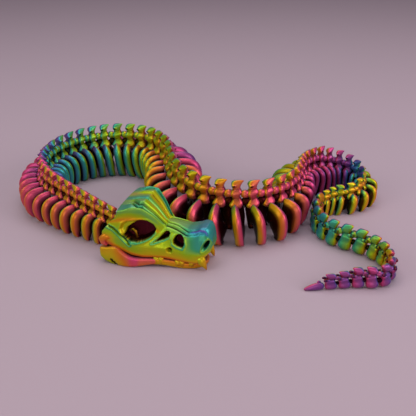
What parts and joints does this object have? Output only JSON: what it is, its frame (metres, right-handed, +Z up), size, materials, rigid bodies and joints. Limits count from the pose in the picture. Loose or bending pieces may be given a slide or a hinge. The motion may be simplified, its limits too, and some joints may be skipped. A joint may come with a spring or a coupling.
{
  "type": "jointed snake skeleton toy",
  "caption": "Jointed snake-skeleton toy of printed silk plastic, lying in two coils; its ribbed lengths turn on upright ball hinges.",
  "frame": {"origin": "on the floor, under the middle of the toy's box", "axes": "+X to the viewer's right, +Y away from the viewer, +Z up; the skull faces +X"},
  "size_m": [0.2214, 0.1629, 0.0357],
  "materials": {
    "skull_plastic": "silk sheen, several colours",
    "lower_jaw_plastic": "silk sheen, several colours",
    "neck_plastic": "silk sheen, several colours",
    "trunk_1_plastic": "silk sheen, several colours",
    "trunk_2_plastic": "silk sheen, several colours",
    "trunk_3_plastic": "silk sheen, several colours",
    "trunk_4_plastic": "silk sheen, several colours",
    "trunk_5_plastic": "silk sheen, several colours",
    "trunk_6_plastic": "silk sheen, several colours",
    "trunk_7_plastic": "silk sheen, several colours",
    "trunk_8_plastic": "silk sheen, several colours",
    "tail_1_plastic": "silk sheen, several colours",
    "tail_2_plastic": "silk sheen, several colours",
    "tail_3_plastic": "silk sheen, several colours"
  },
  "bodies": {
    "skull": {"skull": "skull_plastic", "lower_jaw": "lower_jaw_plastic"},
    "neck": {"neck": "neck_plastic"},
    "trunk_1": {"trunk_1": "trunk_1_plastic"},
    "trunk_2": {"trunk_2": "trunk_2_plastic"},
    "trunk_3": {"trunk_3": "trunk_3_plastic"},
    "trunk_4": {"trunk_4": "trunk_4_plastic"},
    "trunk_5": {"trunk_5": "trunk_5_plastic"},
    "trunk_6": {"trunk_6": "trunk_6_plastic"},
    "trunk_7": {"trunk_7": "trunk_7_plastic"},
    "trunk_8": {"trunk_8": "trunk_8_plastic"},
    "tail_1": {"tail_1": "tail_1_plastic"},
    "tail_2": {"tail_2": "tail_2_plastic"},
    "tail_3": {"tail_3": "tail_3_plastic"}
  },
  "joints": [
    {"name": "skull_turn", "type": "hinge", "parent": "neck", "child": "skull", "pos_m": [-0.03989, -0.04173, 0.012], "axis": [0, 0, -1], "range_deg": [-2, 24]},
    {"name": "neck_turn", "type": "hinge", "parent": "trunk_1", "child": "neck", "pos_m": [-0.0789, -0.00857, 0.012], "axis": [0, 0, -1], "range_deg": [0, 9]},
    {"name": "trunk_1_turn", "type": "hinge", "parent": "trunk_2", "child": "trunk_1", "pos_m": [-0.09227, 0.03115, 0.012], "axis": [0, 0, -1], "range_deg": [0, 18]},
    {"name": "trunk_2_turn", "type": "hinge", "parent": "trunk_3", "child": "trunk_2", "pos_m": [-0.04973, 0.06124, 0.012], "axis": [0, 0, -1], "range_deg": [0, 19]},
    {"name": "trunk_3_turn", "type": "hinge", "parent": "trunk_4", "child": "trunk_3", "pos_m": [-0.01491, 0.01331, 0.012], "axis": [0, 0, -1], "range_deg": [-1, 3]},
    {"name": "trunk_5_turn", "type": "hinge", "parent": "trunk_4", "child": "trunk_5", "pos_m": [0.02577, -0.02697, 0.012], "axis": [0, 0, -1], "range_deg": [-3, 19]},
    {"name": "trunk_6_turn", "type": "hinge", "parent": "trunk_5", "child": "trunk_6", "pos_m": [0.06002, 0.006, 0.012], "axis": [0, 0, 1], "range_deg": [0, 3]},
    {"name": "trunk_7_turn", "type": "hinge", "parent": "trunk_6", "child": "trunk_7", "pos_m": [0.07893, 0.02975, 0.012], "axis": [0, 0, 1], "range_deg": [0, 15]},
    {"name": "trunk_8_turn", "type": "hinge", "parent": "trunk_7", "child": "trunk_8", "pos_m": [0.09953, 0.01468, 0.012], "axis": [0, 0, 1], "range_deg": [0, 19]},
    {"name": "tail_1_turn", "type": "hinge", "parent": "trunk_8", "child": "tail_1", "pos_m": [0.07218, -0.00709, 0.012], "axis": [0, 0, 1], "range_deg": [-3, 16]},
    {"name": "tail_2_turn", "type": "hinge", "parent": "tail_1", "child": "tail_2", "pos_m": [0.08232, -0.04458, 0.012], "axis": [0, 0, 1], "range_deg": [-25, 25]},
    {"name": "tail_3_turn", "type": "hinge", "parent": "tail_2", "child": "tail_3", "pos_m": [0.08731, -0.07694, 0.012], "axis": [0, 0, 1], "range_deg": [-25, 25]}
  ]
}
